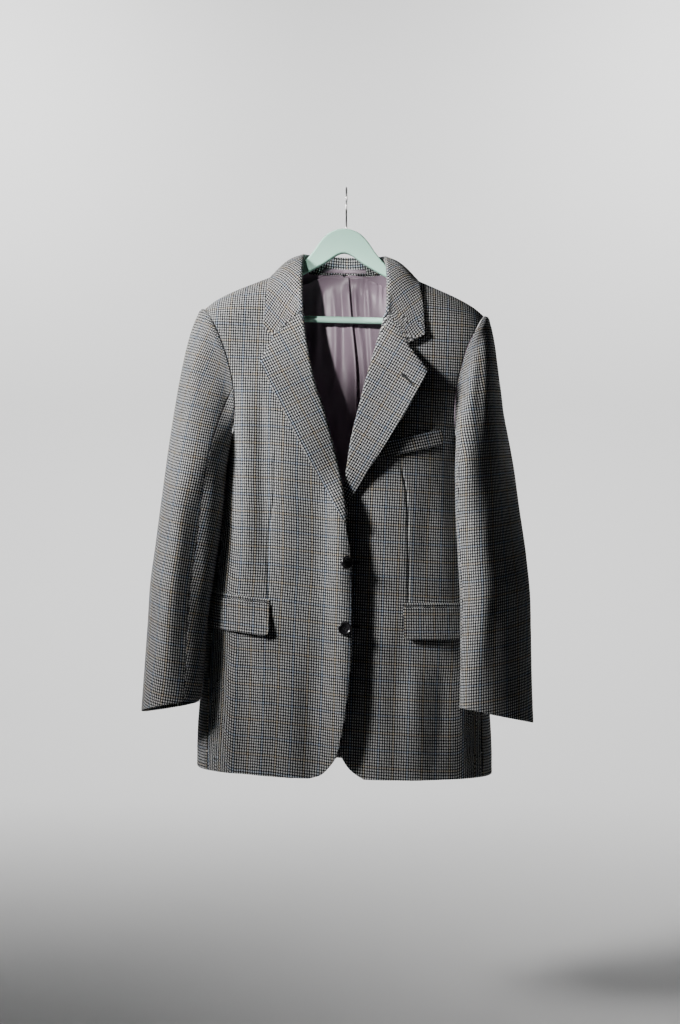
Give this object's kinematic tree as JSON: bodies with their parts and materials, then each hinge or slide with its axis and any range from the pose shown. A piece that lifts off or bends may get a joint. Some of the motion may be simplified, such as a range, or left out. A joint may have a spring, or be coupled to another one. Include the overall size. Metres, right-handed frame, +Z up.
{
  "type": "blazer on a hanger",
  "caption": "Single-breasted notch-lapel blazer in a small black and off-white check, hung open on a flat hanger, with flap pockets, a breast welt and a satin back lining",
  "frame": {"origin": "the inner top of the hanger's hook, where a rail or stud holds it", "axes": "+Z up, the blazer's front faces -Y, +X towards the wearer's left"},
  "size_m": [0.5901, 0.2292, 0.9027],
  "materials": {
    "cloth": "woven wool in a small black and off-white check with faint blue and tan threads",
    "lining": "mauve satin lining with a soft sheen",
    "button": "dark horn, polished, with a raised rim",
    "hanger": "smooth pale mint paint",
    "wire": "bright steel wire"
  },
  "bodies": {
    "root": {"front_right": "cloth", "front_left": "cloth", "side_right": "cloth", "side_left": "cloth", "back_right": "cloth", "back_left": "cloth", "sleeve_top_right": "cloth", "sleeve_top_left": "cloth", "sleeve_under_right": "cloth", "sleeve_under_left": "cloth", "collar": "cloth", "lapel_right": "cloth", "lapel_left": "cloth", "flap_right": "cloth", "flap_left": "cloth", "jet_right": "cloth", "jet_left": "cloth", "breast_welt": "cloth", "lining_back": "lining", "hanging_loop": "lining", "button_front_1": "button", "button_front_2": "button", "button_sleeve_right_1": "button", "button_sleeve_right_2": "button", "button_sleeve_right_3": "button", "button_sleeve_left_1": "button", "button_sleeve_left_2": "button", "button_sleeve_left_3": "button", "hanger_board": "hanger", "hanger_bar": "hanger", "hanger_hook": "wire"}
  },
  "joints": []
}
